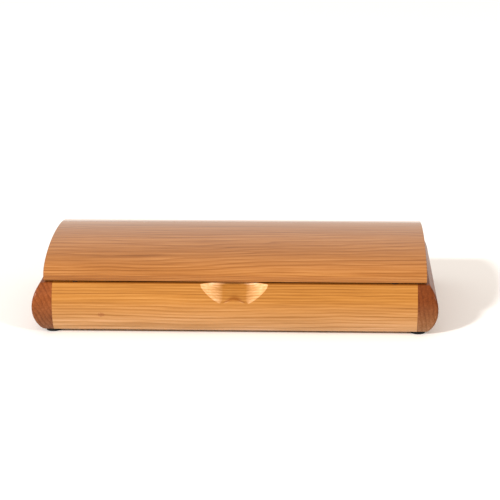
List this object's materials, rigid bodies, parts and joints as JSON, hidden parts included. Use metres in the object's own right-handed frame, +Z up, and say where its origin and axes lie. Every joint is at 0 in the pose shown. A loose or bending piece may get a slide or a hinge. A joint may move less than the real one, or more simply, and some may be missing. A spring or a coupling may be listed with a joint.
{
  "type": "arched lid wooden box",
  "caption": "Long low hardwood box with bulging walls, an arched lid on small rear hinges, a carved finger scoop in the front and rubber feet.",
  "frame": {"origin": "on the floor, under the middle of the box", "axes": "+Z up, X along the box, -Y towards the front with the finger scoop"},
  "size_m": [0.305, 0.16, 0.062],
  "materials": {
    "cherry": "satin clear finish on cherry-coloured hardwood, fine straight grain with some cathedral figure",
    "dark_wood": "satin clear finish on red-brown hardwood",
    "plywood": "sanded",
    "felt": "short wool nap",
    "brass": "brushed and lacquered",
    "black_rubber": "matte"
  },
  "bodies": {
    "box": {"front_panel": "cherry", "back_panel": "cherry", "left_end": "dark_wood", "right_end": "dark_wood", "bottom_panel": "plywood", "felt_lining": "felt", "lid_bumper_left": "black_rubber", "lid_bumper_right": "black_rubber", "foot_front_left": "black_rubber", "foot_front_right": "black_rubber", "foot_rear_left": "black_rubber", "foot_rear_right": "black_rubber", "hinge_left_box_leaf": "brass", "hinge_left_pin": "brass", "hinge_right_box_leaf": "brass", "hinge_right_pin": "brass", "screw_left_box_1": "brass", "screw_left_box_2": "brass", "screw_right_box_1": "brass", "screw_right_box_2": "brass"},
    "lid": {"lid_board": "cherry", "hinge_left_lid_leaf": "brass", "hinge_right_lid_leaf": "brass", "screw_left_lid_1": "brass", "screw_left_lid_2": "brass", "screw_right_lid_1": "brass", "screw_right_lid_2": "brass"}
  },
  "joints": [
    {"name": "lid_hinge", "type": "hinge", "parent": "box", "child": "lid", "pos_m": [0, 0.0756, 0.0395], "axis": [-1, 0, 0], "range_deg": [0, 95]}
  ]
}
